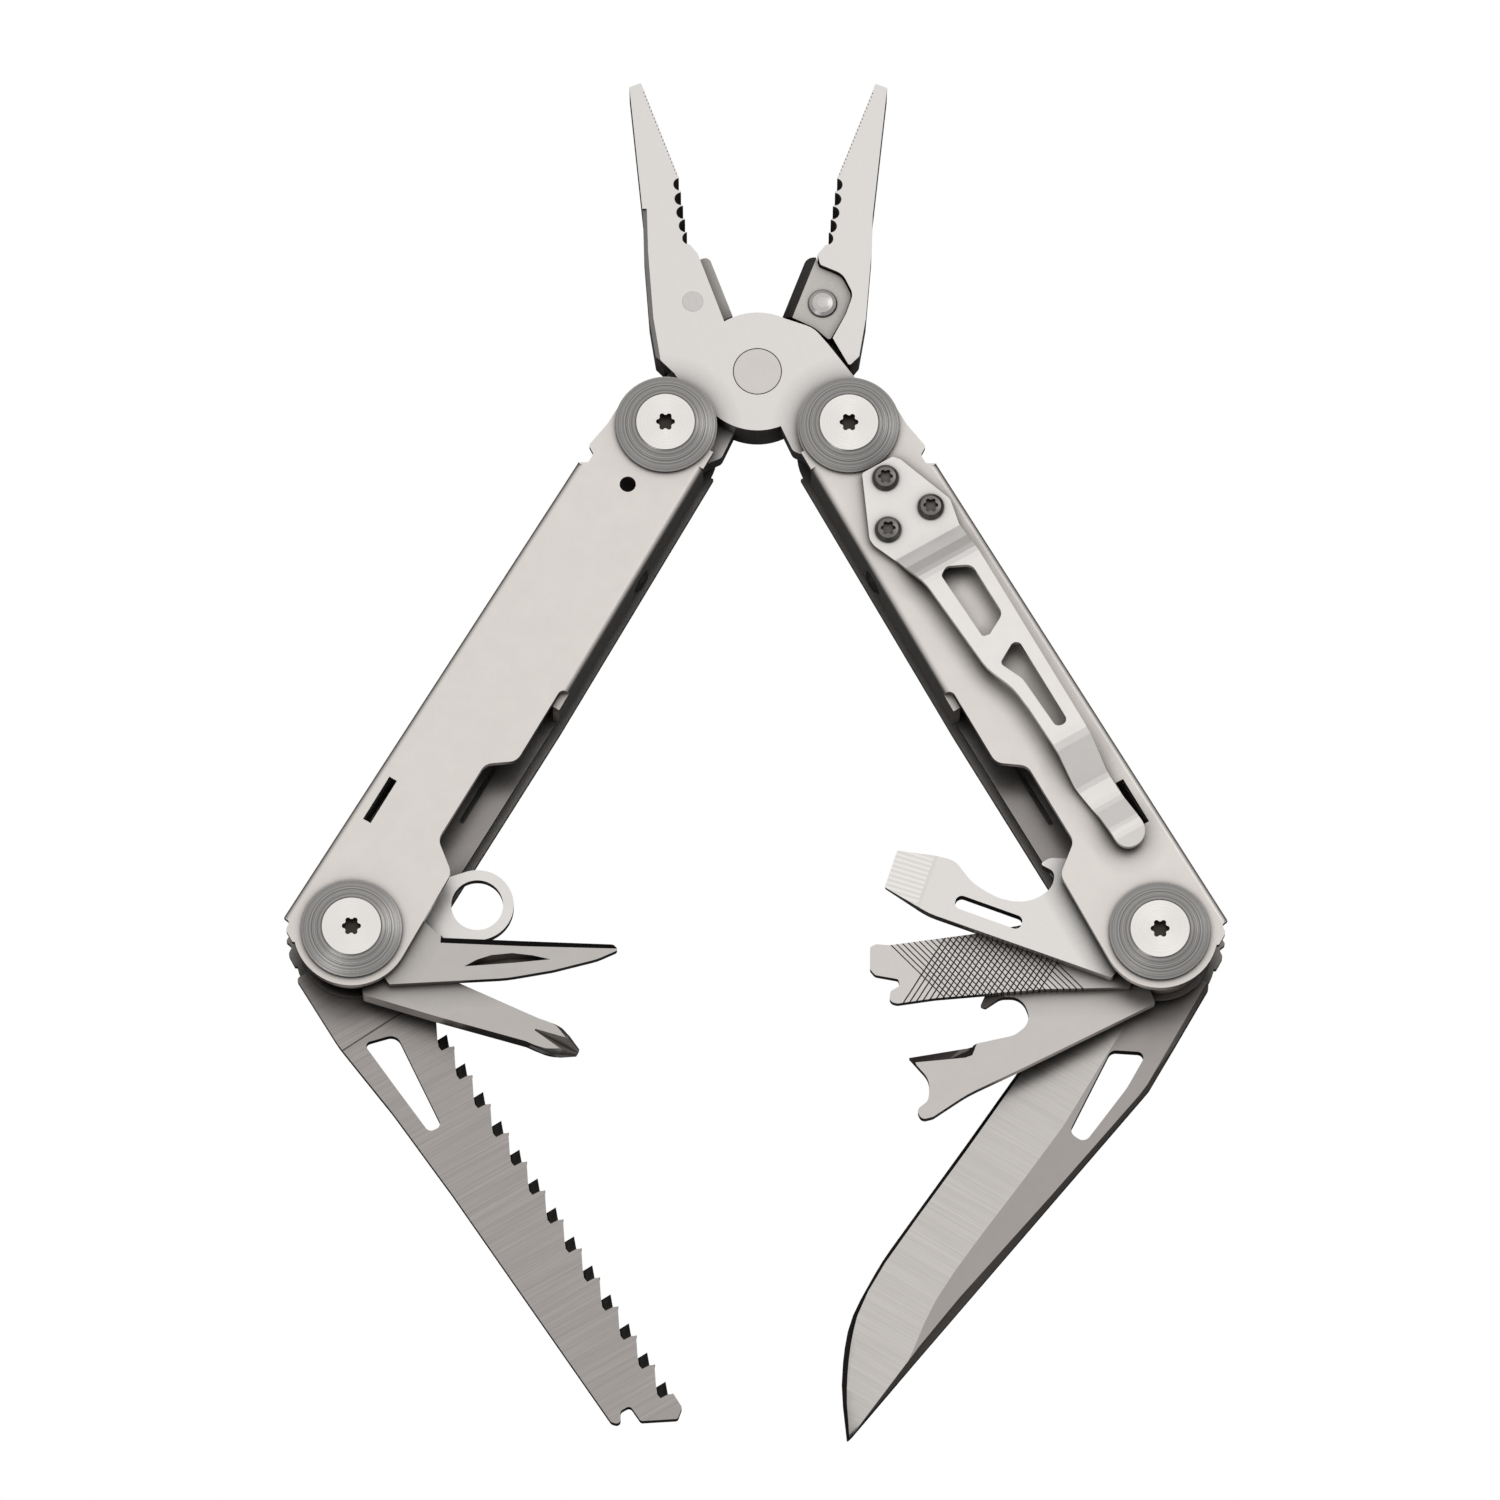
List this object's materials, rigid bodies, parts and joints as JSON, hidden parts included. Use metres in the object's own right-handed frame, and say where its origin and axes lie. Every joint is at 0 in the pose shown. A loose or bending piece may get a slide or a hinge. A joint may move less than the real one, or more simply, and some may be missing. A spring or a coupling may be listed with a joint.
{
  "type": "folding multi tool",
  "caption": "Folding pocket multi tool: needle nose pliers with wire cutters, and two handles that hold a knife, saw, file, drivers, openers, awl, clip and lanyard ring.",
  "frame": {"origin": "on the plier joint's axis, at the level of the rear bolt heads", "axes": "+Y along the plier nose, +X to the right handle, +Z from the rear to the front face"},
  "size_m": [0.1376, 0.2056, 0.0191],
  "materials": {
    "handle_shell": "warm grey bead blasted stainless sheet",
    "jaw_steel": "satin ground steel",
    "cutter_steel": "ground hardened steel",
    "bolt_steel": "turned and polished steel",
    "axle_steel": "turned steel",
    "fastener_steel": "polished steel",
    "clip_steel": "satin spring steel",
    "blade_steel": "cross ground blade steel",
    "tool_steel": "satin tool steel",
    "file_steel": "cut file steel",
    "spring_steel": "rolled spring steel"
  },
  "bodies": {
    "front_jaw": {"front_jaw": "jaw_steel", "jaw_rivet": "fastener_steel", "left_cutter": "cutter_steel", "left_cutter_screw": "fastener_steel"},
    "back_jaw": {"back_jaw": "jaw_steel", "right_cutter": "cutter_steel", "right_cutter_screw": "fastener_steel"},
    "left_handle": {"left_front_shell": "handle_shell", "left_back_shell": "handle_shell", "left_liner": "spring_steel", "left_leaf_spring": "spring_steel", "left_spring_rivet": "fastener_steel", "left_upper_axle": "axle_steel", "left_upper_bolt": "bolt_steel", "left_upper_washer": "spring_steel", "left_lower_axle": "axle_steel", "left_lower_bolt": "bolt_steel", "left_low_washer": "spring_steel"},
    "right_handle": {"right_front_shell": "handle_shell", "right_back_shell": "handle_shell", "right_liner": "spring_steel", "right_leaf_spring": "spring_steel", "right_spring_rivet": "fastener_steel", "right_upper_axle": "axle_steel", "right_upper_bolt": "bolt_steel", "right_upper_washer": "spring_steel", "right_lower_axle": "axle_steel", "right_lower_bolt": "bolt_steel", "right_low_washers": "spring_steel", "pocket_clip": "clip_steel", "clip_screws": "fastener_steel"},
    "awl": {"awl": "tool_steel"},
    "lanyard_ring": {"lanyard_ring": "tool_steel"},
    "phillips_driver": {"phillips_driver": "tool_steel"},
    "saw_blade": {"saw_blade": "blade_steel"},
    "flat_driver": {"flat_driver": "tool_steel"},
    "file": {"file": "file_steel"},
    "can_opener": {"can_opener": "tool_steel"},
    "knife_blade": {"knife_blade": "blade_steel"}
  },
  "joints": [
    {"name": "jaw_pivot", "type": "hinge", "parent": "front_jaw", "child": "back_jaw", "pos_m": [0, 0, 0.0108], "axis": [0, 0, 1], "range_deg": [-1, 41.5]},
    {"name": "left_handle_fold", "type": "hinge", "parent": "back_jaw", "child": "left_handle", "pos_m": [-0.01353, -0.00892, 0.0108], "axis": [0, 0, -1], "range_deg": [0, 150]},
    {"name": "right_handle_fold", "type": "hinge", "parent": "front_jaw", "child": "right_handle", "pos_m": [0.01353, -0.00892, 0.0108], "axis": [0, 0, 1], "range_deg": [0, 150]},
    {"name": "awl_pivot", "type": "hinge", "parent": "left_handle", "child": "awl", "pos_m": [-0.05893, -0.08662, 0.0085], "axis": [0, 0, 1], "range_deg": [-116.9, 63.1]},
    {"name": "lanyard_ring_pivot", "type": "hinge", "parent": "left_handle", "child": "lanyard_ring", "pos_m": [-0.05893, -0.08662, 0.0085], "axis": [0, 0, 1], "range_deg": [-137.6, 42.4]},
    {"name": "phillips_driver_pivot", "type": "hinge", "parent": "left_handle", "child": "phillips_driver", "pos_m": [-0.05893, -0.08662, 0.0085], "axis": [0, 0, 1], "range_deg": [-94, 86]},
    {"name": "saw_blade_pivot", "type": "hinge", "parent": "left_handle", "child": "saw_blade", "pos_m": [-0.05893, -0.08662, 0.0085], "axis": [0, 0, 1], "range_deg": [-60.6, 119.4]},
    {"name": "flat_driver_pivot", "type": "hinge", "parent": "right_handle", "child": "flat_driver", "pos_m": [0.05893, -0.08662, 0.0085], "axis": [0, 0, -1], "range_deg": [-139.5, 40.5]},
    {"name": "file_pivot", "type": "hinge", "parent": "right_handle", "child": "file", "pos_m": [0.05893, -0.08662, 0.0085], "axis": [0, 0, -1], "range_deg": [-119, 61]},
    {"name": "can_opener_pivot", "type": "hinge", "parent": "right_handle", "child": "can_opener", "pos_m": [0.05893, -0.08662, 0.0085], "axis": [0, 0, -1], "range_deg": [-95.3, 84.7]},
    {"name": "knife_blade_pivot", "type": "hinge", "parent": "right_handle", "child": "knife_blade", "pos_m": [0.05893, -0.08662, 0.0085], "axis": [0, 0, -1], "range_deg": [-61.9, 115.1]}
  ]
}
